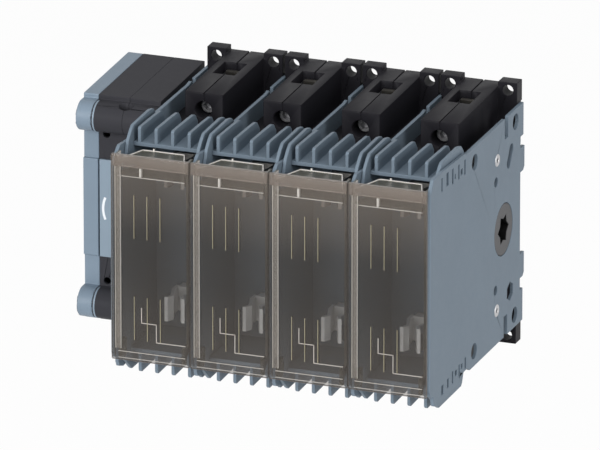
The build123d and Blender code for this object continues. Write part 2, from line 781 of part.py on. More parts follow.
with BuildPart() as mechanism_side_shell:
    add(case_part(mech_left, side_shell_width, mech_left + mech_wall, side_shell_width - mech_wall).part)
    with BuildSketch(Plane.YZ.offset(mech_left)):
        with Locations((at(mech_front - panel_proud / 2), mech_z)):
            Rectangle(panel_proud, 2 * panel_half_height)
    extrude(amount=side_shell_width)
    for start in (spindle_gear_front - running_gap - rail_t, rack_rear + running_gap):
        with BuildSketch(Plane.YZ.offset(mech_left + mech_wall)):
            with Locations((at(start + rail_t / 2), mech_z)):
                Rectangle(rail_t, 2 * rail_reach)
        extrude(amount=rail_height)
write(mechanism_side_shell, "mechanism_side_shell")


def finish_case(case, low_x, high_x):
    # Spindle hole with its collar, inspection holes and the slots on the bosses
    with BuildPart() as finished:
        with BuildSketch(Plane.XZ.offset(-at(inner_front))):
            with Locations((spindle_x, mech_z)):
                Circle(spindle_r + running_gap + collar_t)
        extrude(amount=inner_front - spindle_gear_front + running_gap)
        split(bisect_by=Plane.YZ.offset(low_x), keep=Keep.TOP)
        split(bisect_by=Plane.YZ.offset(high_x), keep=Keep.BOTTOM)
        add(case)
        with BuildSketch(Plane.XZ.offset(-at(mech_front))):
            with Locations((spindle_x, mech_z)):
                Circle(spindle_r + running_gap)
        extrude(amount=-spindle_neck, mode=Mode.SUBTRACT)
        with BuildSketch(Plane.XZ.offset(-at(mech_front))):
            for side in (-1, 1):
                with Locations((mech_left + inspection_x, mech_z + side * inspection_z)):
                    Circle(inspection_r)
        extrude(amount=-mech_wall, mode=Mode.SUBTRACT)
        for side in (-1, 1):
            with BuildSketch(Plane.XY.offset(mech_z + side * mech_front_half)):
                with Locations((mech_parting, at(mech_front - boss_slot_inset))):
                    SlotOverall(boss_slot_length, boss_slot_width)
            extrude(amount=-side * boss_slot_depth, mode=Mode.SUBTRACT)
    return finished


left_blank = case_part(mech_seam, left_case_width, mech_seam, left_case_width)
write(finish_case(left_blank.part, mech_seam, mech_parting), "mechanism_case_left")

right_width = mech_right - mech_parting
right_blank = case_part(mech_parting, right_width, mech_parting, right_width - mech_wall)
with BuildPart() as mechanism_case_right:
    add(finish_case(right_blank.part, mech_parting, mech_right).part)
    with BuildSketch(Plane.YZ.offset(mech_right - mech_wall)):
        with Locations((at(shaft_depth), 0)):
            Circle(pinion_hub_r + running_gap)
    extrude(amount=mech_wall, mode=Mode.SUBTRACT)
    with BuildSketch(Plane.YZ.offset(mech_right)):
        with Locations(*placed(rivet_places)):
            Circle(rivet_collar_r)
            Circle(rivet_flange_r + running_gap, mode=Mode.SUBTRACT)
    extrude(amount=mech_gap)
write(mechanism_case_right, "mechanism_case_right")

with BuildPart() as mechanism_front_panel:
    with BuildSketch(Plane.XZ.offset(-at(mech_front))):
        with Locations((spindle_x, mech_z)):
            Rectangle(mech_right - mech_left - panel_left, 2 * panel_half_height)
            Circle(spindle_r + running_gap, mode=Mode.SUBTRACT)
    extrude(amount=panel_proud)
write(mechanism_front_panel, "mechanism_front_panel")


def gear_points(centre, start_angle):
    # Straight-flanked teeth, thinned by the backlash, the first one at the start angle
    tip = gear_module * tooth_tip
    slope = math.tan(math.radians(tooth_slope))
    half = (math.pi * gear_module - backlash) / 4
    points = []
    for tooth in range(gear_teeth):
        middle = start_angle + 2 * math.pi * tooth / gear_teeth
        for reach, across in ((-gear_module, -half - gear_module * slope), (tip, -half + tip * slope),
                              (tip, half - tip * slope), (-gear_module, half + gear_module * slope)):
            radius = gear_r + reach
            angle = middle + across / radius
            points.append((centre[0] + radius * math.cos(angle), centre[1] + radius * math.sin(angle)))
    return points


def rack_points(root, centre):
    # Teeth of a rack along the second axis, standing up from the root line, with a space at
    # the centre height
    pitch = math.pi * gear_module
    slope = math.tan(math.radians(tooth_slope))
    half = (pitch - backlash) / 4
    low = half + gear_module * slope
    high = half - gear_module * tooth_tip * slope
    tip = root + gear_module * (1 + tooth_tip)
    teeth = []
    for tooth in range(rack_first_tooth, rack_last_tooth + 1):
        middle = centre + (tooth + 0.5) * pitch
        teeth.append([(root, middle - low), (tip, middle - high), (tip, middle + high), (root, middle + low)])
    return teeth


rack_high = rack_rest_z + rack_length / 2
with BuildPart() as slide_rack:
    with BuildSketch(Plane.XZ.offset(-at(spindle_gear_front))):
        with Locations(((rack_left + rack_root_x) / 2, rack_rest_z)):
            Rectangle(rack_root_x - rack_left, rack_length)
        for tooth in rack_points(rack_root_x, mech_z):
            Polygon(*tooth)
    extrude(amount=-gear_width)
    with BuildSketch(Plane.XZ.offset(-at(rack_rear))):
        with Locations(((rack_left + second_rack_end) / 2, rack_rest_z)):
            Rectangle(second_rack_end - rack_left, rack_length)
    extrude(amount=rack_rear - spindle_gear_back - running_gap)
    with BuildSketch(Plane.XZ.offset(-at(rack_rear))):
        with Locations(((rack_left + rack_root_x) / 2, rack_rest_z)):
            Rectangle(rack_root_x - rack_left, rack_length)
    extrude(amount=rack_rear - spindle_gear_back)
    with BuildSketch(Plane.YZ.offset(second_rack_end - gear_width - 2 * pinion_step)):
        for tooth in rack_points(at(rack_rear), 0):
            Polygon(*tooth)
    extrude(amount=gear_width + 2 * pinion_step)
write(slide_rack, "slide_rack")

with BuildPart() as shaft_pinion:
    with BuildSketch(Plane.YZ.offset(second_rack_end - gear_width - pinion_step)):
        Polygon(*gear_points((at(shaft_depth), 0), math.pi))
        Polygon(*star(star_r + star_gap, star_root_r + star_gap), mode=Mode.SUBTRACT)
    extrude(amount=gear_width)
    with BuildSketch(Plane.YZ.offset(second_rack_end - pinion_step)):
        with Locations((at(shaft_depth), 0)):
            Circle(pinion_hub_r)
        Polygon(*star(star_r + star_gap, star_root_r + star_gap), mode=Mode.SUBTRACT)
    extrude(amount=mech_right - second_rack_end + pinion_step)
write(shaft_pinion, "shaft_pinion")

with BuildPart() as drive_spindle:
    with BuildSketch(Plane.XZ.offset(-at(spindle_gear_front))):
        with Locations((spindle_x, mech_z)):
            Circle(spindle_r)
    extrude(amount=spindle_gear_front - mech_front + panel_proud - running_gap)
    with BuildSketch(Plane.XZ.offset(-at(spindle_gear_front))):
        Polygon(*gear_points((spindle_x, mech_z), math.pi))
    extrude(amount=-gear_width)
    with BuildSketch(Plane.XZ.offset(-at(mech_front - panel_proud))):
        with Locations((spindle_x, mech_z)):
            Rectangle(spindle_socket, spindle_socket)
    extrude(amount=-socket_hole_depth, mode=Mode.SUBTRACT)
write(drive_spindle, "drive_spindle")

# Return spring of the rack: one flat strip folded back and forth
spring_low = rack_high + running_gap
spring_high = mech_z + inner_half_height - running_gap
fold = (spring_high - spring_low - spring_strip) / spring_turns
spring_middle = rack_left + spring_side_gap + spring_width / 2
with BuildPart() as rack_spring:
    with BuildSketch(Plane.XZ.offset(-at(spindle_gear_front + gear_width / 2 + spring_depth / 2))):
        for turn in range(spring_turns + 1):
            with Locations((spring_middle, spring_low + spring_strip / 2 + turn * fold)):
                Rectangle(spring_width, spring_strip)
        for turn in range(spring_turns):
            side = 1 if turn % 2 else -1
            with Locations((spring_middle + side * (spring_width - spring_strip) / 2,
                            spring_low + spring_strip / 2 + (turn + 0.5) * fold)):
                Rectangle(spring_strip, fold)
    extrude(amount=spring_depth)
write(rack_spring, "rack_spring")
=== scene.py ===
import bpy
import bmesh
import math
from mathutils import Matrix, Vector


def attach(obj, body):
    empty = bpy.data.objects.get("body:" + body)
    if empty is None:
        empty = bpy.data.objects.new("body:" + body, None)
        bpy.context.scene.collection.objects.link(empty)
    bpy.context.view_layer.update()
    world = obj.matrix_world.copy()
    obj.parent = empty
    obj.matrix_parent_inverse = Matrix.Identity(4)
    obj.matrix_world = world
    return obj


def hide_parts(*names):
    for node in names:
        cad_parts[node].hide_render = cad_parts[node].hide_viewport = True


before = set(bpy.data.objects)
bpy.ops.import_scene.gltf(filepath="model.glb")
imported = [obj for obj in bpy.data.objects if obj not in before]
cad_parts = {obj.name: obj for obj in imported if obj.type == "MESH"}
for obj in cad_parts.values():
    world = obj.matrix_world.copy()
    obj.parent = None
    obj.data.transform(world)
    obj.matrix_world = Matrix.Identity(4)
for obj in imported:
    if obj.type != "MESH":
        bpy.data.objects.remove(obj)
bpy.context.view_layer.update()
print("frame loaded:", len(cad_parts), "nodes")

mm = 0.001
poleNumbers = (1, 2, 3, 4)
polePitch = 35.6
poleMiddle = {number: (number - 2.5) * polePitch for number in poleNumbers}  # in mm
frontY = -121  # front face of the covers, in mm
paneSize = {"halfWidth": 17.7, "foot": -44.5, "top": 48.0}  # pane of a cover, in mm
mergeGap = 1e-6  # in metres
alongX = (0, math.pi / 2, 0)  # turns an axis from Z to X


def spot(x, depth, z):  # a place in metres from mm, the depth taken behind the cover fronts
    return Vector((x, frontY + depth, z)) * mm


def roundPoint(middle, radius, angle):
    return middle[0] + radius * math.cos(angle), middle[1] + radius * math.sin(angle)


def roundPoints(middle, radius, steps):  # a full circle
    return [roundPoint(middle, radius, math.tau * step / steps) for step in range(steps)]


cameraPlan = {"azimuth": 20.38, "elevation": 19.69, "distance": 5.529, "lens": 778.66,
              "sensor": 36, "clipStart": 0.5, "aim": (0.0, -0.061, 0.0),
              "right": -0.00737, "up": 0.00432}


def placeCamera(plan):
    turn, rise = math.radians(plan["azimuth"]), math.radians(plan["elevation"])
    back = Vector((math.sin(turn) * math.cos(rise), -math.cos(turn) * math.cos(rise),
                   math.sin(rise)))
    right = Vector((math.cos(turn), math.sin(turn), 0))
    up = back.cross(right)
    aim = Vector(plan["aim"]) + right * plan["right"] + up * plan["up"]
    cameraData = bpy.data.cameras.new("photoCamera")
    cameraData.lens = plan["lens"]
    cameraData.sensor_width = plan["sensor"]
    cameraData.clip_start = plan["clipStart"]
    camera = bpy.data.objects.new("photoCamera", cameraData)
    camera.location = aim + back * plan["distance"]
    camera.rotation_mode = "QUATERNION"
    camera.rotation_quaternion = (-back).to_track_quat("-Z", "Y")
    bpy.context.scene.collection.objects.link(camera)
    bpy.context.scene.camera = camera


placeCamera(cameraPlan)
bpy.context.scene.view_settings.view_transform = "Standard"


class Signal:
    # one output of a node; arithmetic on it adds Math nodes
    def __init__(self, wiring, socket):
        self.wiring = wiring
        self.socket = socket

    def __add__(self, other):
        return self.wiring.maths("ADD", self, other)

    def __sub__(self, other):
        return self.wiring.maths("SUBTRACT", self, other)

    def __rsub__(self, other):
        return self.wiring.maths("SUBTRACT", other, self)

    def __mul__(self, other):
        return self.wiring.maths("MULTIPLY", self, other)

    def __truediv__(self, other):
        return self.wiring.maths("DIVIDE", self, other)

    def __rtruediv__(self, other):
        return self.wiring.maths("DIVIDE", other, self)

    __radd__ = __add__
    __rmul__ = __mul__


class Wiring:
    # adds nodes to one tree and links them
    def __init__(self, tree):
        self.tree = tree

    def node(self, kind, settings=None, inputs=None, output=0):
        made = self.tree.nodes.new(kind)
        for key, value in (settings or {}).items():
            if key == "stops":
                self.fillRamp(made.color_ramp.elements, value)
            else:
                setattr(made, key, value)
        for key, value in (inputs or {}).items():
            if isinstance(value, Signal):
                self.tree.links.new(value.socket, made.inputs[key])
            else:
                made.inputs[key].default_value = value
        return Signal(self, made.outputs[output]) if made.outputs else None

    def fillRamp(self, elements, stops):  # a new ramp has two stops
        for number, (place, colour) in enumerate(stops):
            element = elements[number] if number < 2 else elements.new(place)
            element.position = place
            element.color = colour

    def other(self, signal, output):  # another output of the same node
        return Signal(self, signal.socket.node.outputs[output])

    def link(self, target, name, *sources):  # several links into one socket
        for source in sources:
            self.tree.links.new(source.socket, target.socket.node.inputs[name])

    def maths(self, operation, *values, **settings):
        return self.node("ShaderNodeMath", {"operation": operation, **settings},
                         dict(enumerate(values)))

    def vector(self, **parts):
        return self.node("ShaderNodeCombineXYZ", {}, parts)

    def part(self, place, axis):
        return self.node("ShaderNodeSeparateXYZ", {}, {"Vector": place}, axis)

    def place(self):
        return self.node("ShaderNodeTexCoord", output="Object")

    def noise(self, place, **sizes):
        return self.node("ShaderNodeTexNoise", {}, {"Vector": place, **sizes})

    def bump(self, height, strength, distance):
        return self.node("ShaderNodeBump", {}, {"Height": height, "Strength": strength,
                                                "Distance": distance})

    def mix(self, factor, first, second):
        return self.node("ShaderNodeMix", {"data_type": "RGBA"},
                         {0: factor, 6: first, 7: second}, 2)

    def surface(self, **inputs):  # "Base_Color" stands for the socket Base Color, and so on
        named = {name.replace("_", " "): value for name, value in inputs.items()}
        shader = self.node("ShaderNodeBsdfPrincipled", {}, named)
        self.node("ShaderNodeOutputMaterial", {}, {"Surface": shader})


def blankMaterial(name):
    material = bpy.data.materials.new(name)
    material.use_nodes = True
    material.node_tree.nodes.clear()
    return material, Wiring(material.node_tree)


def shade(colour, amount):
    return tuple(min(1, part * amount) for part in colour[:3]) + (1,)


mouldedPlastics = {
    "slatePlastic": {"colour": (0.160, 0.205, 0.252), "roughness": 0.46, "grain": 0.30,
                     "cloud": 0.07, "gloss": 0.13},
    # painted shade: the terminal bases get a darker copy of the black plastic, for the shade behind
    # the fins
    "basePlastic": {"colour": (0.014, 0.0135, 0.0165), "roughness": 0.42, "grain": 0.35,
                    "cloud": 0.10, "gloss": 0.06},
    # painted light: the mechanism case gets a lighter copy of the same black plastic
    "casePlastic": {"colour": (0.042, 0.042, 0.048), "roughness": 0.40, "grain": 0.30,
                    "cloud": 0.08, "gloss": 0.02},
    # painted shade: the rotor is painted nearly black inside its star socket
    "rotorPlastic": {"colour": (0.100, 0.100, 0.104), "roughness": 0.50, "grain": 0.30,
                     "cloud": 0.08, "gloss": 0.14, "socketFrom": 71.6, "socketShade": 0.06},
    "shellPlastic": {"colour": (0.185, 0.240, 0.300), "roughness": 0.42, "grain": 0.25,
                     "cloud": 0.06, "gloss": 0.22},
    "panelPlastic": {"colour": (0.215, 0.275, 0.335), "roughness": 0.42, "grain": 0.25,
                     "cloud": 0.06, "gloss": 0.26},
}
mouldedSkin = {"scuff": 0.16, "grainDepth": 0.00006}


def mouldedPlastic(name, plan, skin):
    material, wiring = blankMaterial(name)
    place = wiring.place()
    cloud = wiring.noise(place, Scale=45.0, Detail=4.0)
    grain = wiring.noise(place, Scale=2600.0, Detail=2.0)
    scuff = wiring.noise(place, Scale=260.0, Detail=6.0, Roughness=0.7)
    colour = wiring.mix(cloud, shade(plan["colour"], 1 - plan["cloud"]),
                        shade(plan["colour"], 1 + plan["cloud"]))
    if "socketFrom" in plan:  # painted shade: nearly black left of this X, inside the star socket
        inside = wiring.maths("LESS_THAN", wiring.part(place, "X"), plan["socketFrom"] * mm)
        colour = wiring.mix(inside, colour, shade(plan["colour"], plan["socketShade"]))
    roughness = plan["roughness"] + (scuff - 0.5) * skin["scuff"]
    bump = wiring.bump(grain, plan["grain"], skin["grainDepth"])
    wiring.surface(Base_Color=colour, Roughness=roughness, Normal=bump,
                   Specular_IOR_Level=plan["gloss"])
    return material


levelGrain, uprightGrain, depthGrain = (60, 60, 1500), (60, 1500, 60), (900, 90, 900)
metals = {
    # silvery plating, partly painted sheen: near white and mostly not metallic, so the lit jaws
    # read bright
    "platedCopper": {"colour": (0.96, 0.95, 0.92), "roughness": 0.40, "brushed": levelGrain,
                     "dull": 0.85, "metallic": 0.25},
    # painted shade: the upper jaw gets a darker copy of the copper, for the shade of the latch box
    "tinnedCopper": {"colour": (0.46, 0.45, 0.43), "roughness": 0.42, "brushed": levelGrain,
                     "dull": 0.8},
    # painted shade: the line terminal gets a nearly black copy of the copper, for the deep shade at
    # the rear
    "dullCopper": {"colour": (0.10, 0.095, 0.085), "roughness": 0.45, "brushed": levelGrain,
                   "dull": 0.7},
    "springSteel": {"colour": (0.62, 0.62, 0.63), "roughness": 0.34, "brushed": uprightGrain,
                    "dull": 0.7},
    "zincSteel": {"colour": (0.56, 0.56, 0.57), "roughness": 0.38, "brushed": depthGrain,
                  "dull": 0.7},
    # painted shade: the clamp screws get a darker copy of the zinc steel, for the shade in their
    # recesses
    "screwSteel": {"colour": (0.30, 0.30, 0.31), "roughness": 0.42, "brushed": depthGrain,
                   "dull": 0.7},
    # dark steel, darkened further as painted shade for the cages deep in the terminal blocks
    "darkSteel": {"colour": (0.16, 0.16, 0.17), "roughness": 0.42, "brushed": depthGrain,
                  "dull": 0.6},
}
metalSkin = {"bright": 1.08, "streak": 0.25, "grain": 0.15, "grainDepth": 0.00003,
             "metallic": 0.95}


def brushedMetal(name, plan, skin):
    material, wiring = blankMaterial(name)
    place = wiring.place()
    drawn = wiring.node("ShaderNodeMapping", {}, {"Vector": place, "Scale": plan["brushed"]})
    streak = wiring.noise(drawn, Scale=1.0, Detail=3.0)
    tarnish = wiring.noise(place, Scale=180.0, Detail=5.0)
    colour = wiring.mix(tarnish, shade(plan["colour"], plan["dull"]),
                        shade(plan["colour"], skin["bright"]))
    roughness = plan["roughness"] + (streak - 0.5) * skin["streak"]
    bump = wiring.bump(streak, skin["grain"], skin["grainDepth"])
    wiring.surface(Base_Color=colour, Roughness=roughness,
                   Metallic=plan.get("metallic", skin["metallic"]), Normal=bump)
    return material


smokedPlastics = {
    # painted light and shade on the pane: darker about its middle height, lighter towards its top,
    # with a lighter border
    "smokedPane": {"colour": (0.100, 0.084, 0.070), "alpha": 0.28, "roughness": 0.10,
                   "border": 0.12, "borderColour": (0.17, 0.15, 0.135, 1),
                   "middle": 0.55, "top": 1.9},
    "smokedWall": {"colour": (0.120, 0.115, 0.092), "alpha": 0.50, "roughness": 0.16},
    # painted light: a pale copy of the smoked plastic for the skirt sides where light catches them
    "smokedRim": {"colour": (0.840, 0.790, 0.740), "alpha": 0.80, "roughness": 0.14},
    # painted light: the lighter band along the top of a pane
    "smokedBand": {"colour": (0.350, 0.290, 0.250), "alpha": 0.30, "roughness": 0.14},
    # painted light: the lighter strip near the left side of a pane
    "smokedMargin": {"colour": (0.480, 0.440, 0.390), "alpha": 0.24, "roughness": 0.14},
    "smokedGlint": {"colour": (0.560, 0.530, 0.360), "alpha": 0.90, "roughness": 0.12},
    # painted highlights: the bright lines at the edges of the clear plastic
    "smokedEdge": {"colour": (0.860, 0.830, 0.780), "alpha": 0.94, "roughness": 0.12},
}
smokedSkin = {"haze": 0.2, "wipe": 0.08, "middleFrom": 0.42, "middleTo": 0.62,
              "edgeBlend": 0.35, "edgeShare": 0.6, "borderAlpha": 0.6,
              "grain": 0.05, "grainDepth": 0.0004, "ior": 1.49}


def paneBorder(wiring, place, width):
    # 1 within the given width in mm of the border of a pane, counted afresh for every pole: the
    # mask of the painted light along a pane's edges
    along = wiring.part(place, "X") / (polePitch * mm) + len(poleNumbers) / 2
    sideways = wiring.maths("ABSOLUTE", wiring.maths("FRACT", along) - 0.5)
    height = wiring.part(place, "Z")
    atSide = wiring.maths("GREATER_THAN", sideways, (paneSize["halfWidth"] - width) / polePitch)
    atTop = wiring.maths("GREATER_THAN", height, (paneSize["top"] - width) * mm)
    atFoot = wiring.maths("LESS_THAN", height, (paneSize["foot"] + width) * mm)
    return wiring.maths("ADD", atSide + atTop, atFoot, use_clamp=True)


def smokedPlastic(name, plan, skin):
    material, wiring = blankMaterial(name)
    place = wiring.place()
    haze = wiring.noise(place, Scale=30.0, Detail=3.0)
    wipe = wiring.noise(place, Scale=400.0, Detail=5.0)
    rise = wiring.node("ShaderNodeMapRange", {},
                       {"Value": wiring.part(place, "Z"), "From Min": paneSize["foot"] * mm,
                        "From Max": paneSize["top"] * mm})
    # painted light and shade: the colour ramps from the foot to a darker middle and a lighter top
    foot, middle, top = (shade(plan["colour"], amount)
                         for amount in (1, plan.get("middle", 1), plan.get("top", 1)))
    stops = [(0.0, foot), (skin["middleFrom"], middle), (skin["middleTo"], middle), (1.0, top)]
    colour = wiring.node("ShaderNodeValToRGB", {"stops": stops},
                         {"Fac": rise + (haze - 0.5) * skin["haze"]})
    roughness = plan["roughness"] + (wipe - 0.5) * skin["wipe"]
    edge = wiring.node("ShaderNodeLayerWeight", {}, {"Blend": skin["edgeBlend"]}, "Facing")
    alpha = plan["alpha"] + edge * (1 - plan["alpha"]) * skin["edgeShare"]
    # painted light: a lighter and less clear border round the pane
    if "border" in plan:
        border = paneBorder(wiring, place, plan["border"])
        colour = wiring.mix(border, colour, plan["borderColour"])
        alpha = alpha + border * (skin["borderAlpha"] - plan["alpha"])
    bump = wiring.bump(haze, skin["grain"], skin["grainDepth"])
    wiring.surface(Base_Color=colour, Roughness=roughness, Alpha=alpha, Normal=bump,
                   IOR=skin["ior"])
    return material


printPlan = {"worn": (0.62, 0.66, 0.70, 1), "fresh": (0.86, 0.88, 0.90, 1),
             "roughness": 0.5, "speck": 0.1}


def printedInk(name, plan):
    material, wiring = blankMaterial(name)
    speck = wiring.noise(wiring.place(), Scale=2200.0, Detail=3.0)
    wiring.surface(Base_Color=wiring.mix(speck, plan["worn"], plan["fresh"]),
                   Roughness=plan["roughness"] + speck * plan["speck"])
    return material


finishes = {}
for maker, plans, skin in ((mouldedPlastic, mouldedPlastics, mouldedSkin),
                           (brushedMetal, metals, metalSkin),
                           (smokedPlastic, smokedPlastics, smokedSkin)):
    for name, plan in plans.items():
        finishes[name] = maker(name, plan, skin)
finishes["printedWhite"] = printedInk("printedWhite", printPlan)
print("materials made:", len(finishes))


studioPlan = {"floorZ": -0.36, "floorSize": 60.0, "floorColour": (0.86, 0.86, 0.86, 1),
              "floorWhite": 0.96, "ambient": 0.27, "white": (1, 1, 1, 1),
              "lamps": {"topLamp": {"place": (0.9, -1.2, 2.6), "size": 2.2, "power": 30.0},
                        "sideLamp": {"place": (2.6, -0.9, 0.7), "size": 1.6, "power": 27.0},
                        "frontLamp": {"place": (-0.8, -2.8, 0.9), "size": 1.8, "power": 74.0}}}


def pickRays(wiring):  # 1 for what the camera sees, straight, in a reflection or through a pane
    seen = wiring.node("ShaderNodeLightPath", output="Is Camera Ray")
    glossy, through = wiring.other(seen, "Is Glossy Ray"), wiring.other(seen, "Is Transmission Ray")
    return wiring.maths("MAXIMUM", seen, wiring.maths("MAXIMUM", glossy, through))


def buildSky(plan):
    world = bpy.data.worlds.new("studioWorld")
    world.use_nodes = True
    world.node_tree.nodes.clear()
    bpy.context.scene.world = world
    wiring = Wiring(world.node_tree)
    strength = plan["ambient"] + pickRays(wiring) * (1 - plan["ambient"])
    sky = wiring.node("ShaderNodeBackground", {}, {"Color": plan["white"], "Strength": strength})
    wiring.node("ShaderNodeOutputWorld", {}, {"Surface": sky})


def buildFloor(plan):
    reach, height = plan["floorSize"] / 2, plan["floorZ"]
    floorMesh = bpy.data.meshes.new("studioFloor")
    floorMesh.from_pydata([(-reach, -reach, height), (reach, -reach, height),
                           (reach, reach, height), (-reach, reach, height)], [], [(0, 1, 2, 3)])
    floor = bpy.data.objects.new("studioFloor", floorMesh)
    bpy.context.scene.collection.objects.link(floor)
    material, wiring = blankMaterial("paleFloor")
    plain = wiring.node("ShaderNodeBsdfDiffuse", {}, {"Color": plan["floorColour"]})
    white = wiring.node("ShaderNodeEmission", {}, {"Color": plan["white"], "Strength": 1.0})
    shown = pickRays(wiring) * plan["floorWhite"]
    both = wiring.node("ShaderNodeMixShader", {}, {0: shown, 1: plain, 2: white})
    wiring.node("ShaderNodeOutputMaterial", {}, {"Surface": both})
    floorMesh.materials.append(material)


def placeLamps(plan):
    for name, lamp in plan["lamps"].items():
        lampData = bpy.data.lights.new(name, "AREA")
        lampData.size = lamp["size"]
        lampData.energy = lamp["power"]
        lampObject = bpy.data.objects.new(name, lampData)
        lampObject.location = lamp["place"]
        lampObject.rotation_euler = Vector(lamp["place"]).to_track_quat("Z", "Y").to_euler()
        bpy.context.scene.collection.objects.link(lampObject)


buildSky(studioPlan)
buildFloor(studioPlan)
placeLamps(studioPlan)
print("studio ready")


def newObject(name, mesh, *materialNames):
    for materialName in materialNames:
        mesh.materials.append(finishes[materialName])
    made = bpy.data.objects.new(name, mesh)
    bpy.context.scene.collection.objects.link(made)
    return made


def finishMesh(name, work):
    mesh = bpy.data.meshes.new(name)
    work.to_mesh(mesh)
    work.free()
    return mesh


def newPiece(name, work, *materialNames):
    return newObject(name, finishMesh(name, work), *materialNames)


def smoothFaces(mesh, angle):  # edges sharper than the angle stay sharp
    for polygon in mesh.polygons:
        polygon.use_smooth = True
    mesh.set_sharp_from_angle(angle=math.radians(angle))


softAngle = 35  # edges sharper than this are rounded


def softenEdges(piece, width, segments=2):
    bevel = piece.modifiers.new("softEdges", "BEVEL")
    bevel.width = width * mm
    bevel.segments = segments
    bevel.limit_method = "ANGLE"
    bevel.angle_limit = math.radians(softAngle)
    bevel.use_clamp_overlap = False
    bevel.harden_normals = True
    smoothFaces(piece.data, softAngle)


copyPlan = {"flatAngle": 0.8, "mostCorners": 4}


def softenedCopy(nodeName, pieceName, body, materialName, width, plan):
    # the same form as the node, with its edges rounded as moulding leaves them
    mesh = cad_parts[nodeName].data.copy()
    mesh.materials.clear()
    work = bmesh.new()
    work.from_mesh(mesh)
    bmesh.ops.remove_doubles(work, verts=work.verts, dist=mergeGap)
    bmesh.ops.dissolve_limit(work, angle_limit=math.radians(plan["flatAngle"]),
                             verts=work.verts, edges=work.edges)
    large = [face for face in work.faces if len(face.verts) > plan["mostCorners"]]
    bmesh.ops.triangulate(work, faces=large)  # bevelled, a concave face fills wrongly
    work.to_mesh(mesh)
    work.free()
    piece = newObject(pieceName, mesh, materialName)
    softenEdges(piece, width)
    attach(piece, body)
    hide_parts(nodeName)


def settled(mesh):  # doubles merged and every face turned outward
    work = bmesh.new()
    work.from_mesh(mesh)
    bmesh.ops.remove_doubles(work, verts=work.verts, dist=mergeGap)
    bmesh.ops.recalc_face_normals(work, faces=work.faces)
    work.to_mesh(mesh)
    work.free()
    return mesh


def prismSpot(along, place, point):  # a point of the outline, at one end of the prism
    if along == "x":
        return spot(place, *point)  # the outline is in (depth, z)
    if along == "z":
        return spot(*point, place)  # in (x, depth)
    return spot(point[0], place, point[1])  # along the depth, in (x, z)


def addPrism(work, outline, along, start, end, slot=0):
    rings = [[work.verts.new(prismSpot(along, place, point)) for point in outline]
             for place in (start, end)]
    faces = [work.faces.new(rings[0]), work.faces.new(list(reversed(rings[1])))]
    for step in range(len(outline)):
        after = (step + 1) % len(outline)
        faces.append(work.faces.new((rings[0][step], rings[1][step],
                                     rings[1][after], rings[0][after])))
    for face in faces:
        face.material_index = slot
    bmesh.ops.recalc_face_normals(work, faces=faces)


def addBlock(work, low, high, slot=0):
    corners = [(low[1], low[2]), (high[1], low[2]), (high[1], high[2]), (low[1], high[2])]
    addPrism(work, corners, "x", low[0], high[0], slot)


def startTree(name, sizes):
    # a geometry tree whose inputs are the places to fill, the named sizes and the material
    tree = bpy.data.node_groups.new(name, "GeometryNodeTree")
    tree.interface.new_socket("Result", in_out="OUTPUT", socket_type="NodeSocketGeometry")
    tree.interface.new_socket("Places", in_out="INPUT", socket_type="NodeSocketGeometry")
    for label, value in sizes.items():
        kind = "NodeSocketInt" if isinstance(value, int) else "NodeSocketFloat"
        size = tree.interface.new_socket(label, in_out="INPUT", socket_type=kind)
        size.default_value = value
    tree.interface.new_socket("Finish", in_out="INPUT", socket_type="NodeSocketMaterial")
    wiring = Wiring(tree)
    entry = tree.nodes.new("NodeGroupInput")
    return wiring, {socket.name: Signal(wiring, socket) for socket in entry.outputs if socket.name}


def endTree(wiring, instances, finish):
    real = wiring.node("GeometryNodeRealizeInstances", {}, {"Geometry": instances})
    painted = wiring.node("GeometryNodeSetMaterial", {}, {"Geometry": real, "Material": finish})
    wiring.node("NodeGroupOutput", {}, {0: painted})
    return wiring.tree


def growPiece(name, tree, hostMesh, sizes, materialName):
    # the tree's result on the host mesh, as a plain mesh
    host = bpy.data.objects.new(name + "Host", hostMesh)
    bpy.context.scene.collection.objects.link(host)
    modifier = host.modifiers.new("grow", "NODES")
    modifier.node_group = tree
    for item in tree.interface.items_tree:
        if item.in_out == "INPUT" and item.name in sizes:
            modifier[item.identifier] = sizes[item.name]
        elif item.in_out == "INPUT" and item.name == "Finish":
            modifier[item.identifier] = finishes[materialName]
    grown = host.evaluated_get(bpy.context.evaluated_depsgraph_get())
    result = bpy.data.meshes.new_from_object(grown)
    host.modifiers.remove(modifier)
    bpy.data.objects.remove(host)
    result.name = name
    result.materials.clear()
    return newObject(name, settled(result), materialName)


def pointMesh(name, places):
    mesh = bpy.data.meshes.new(name)
    mesh.from_pydata([spot(*place) for place in places], [], [])
    return mesh


# each node's piece, its material and the width of its rounded edges in mm
softenedPieces = {"end_plate_left": ("endPlateLeft", "slatePlastic", 0.25),
                  "end_plate_right": ("endPlateRight", "slatePlastic", 0.25),
                  "mechanism_side_shell": ("mechanismSideShell", "shellPlastic", 0.45),
                  "mechanism_front_panel": ("mechanismFrontPanel", "panelPlastic", 0.3),
                  "mechanism_case_left": ("mechanismCaseLeft", "casePlastic", 0.25),
                  "mechanism_case_right": ("mechanismCaseRight", "casePlastic", 0.25)}
for number in poleNumbers[:-1]:
    softenedPieces[f"partition_plate_{number}"] = (f"partitionPlate{number}", "slatePlastic", 0.25)
for number in poleNumbers:
    for side in ("left", "right"):
        softenedPieces[f"terminal_base_{side}_{number}"] = (
            f"terminalBase{side.capitalize()}{number}", "basePlastic", 0.28)
for nodeName, (pieceName, materialName, width) in softenedPieces.items():
    softenedCopy(nodeName, pieceName, "housing", materialName, width, copyPlan)
print("moulded pieces softened:", len(softenedPieces))


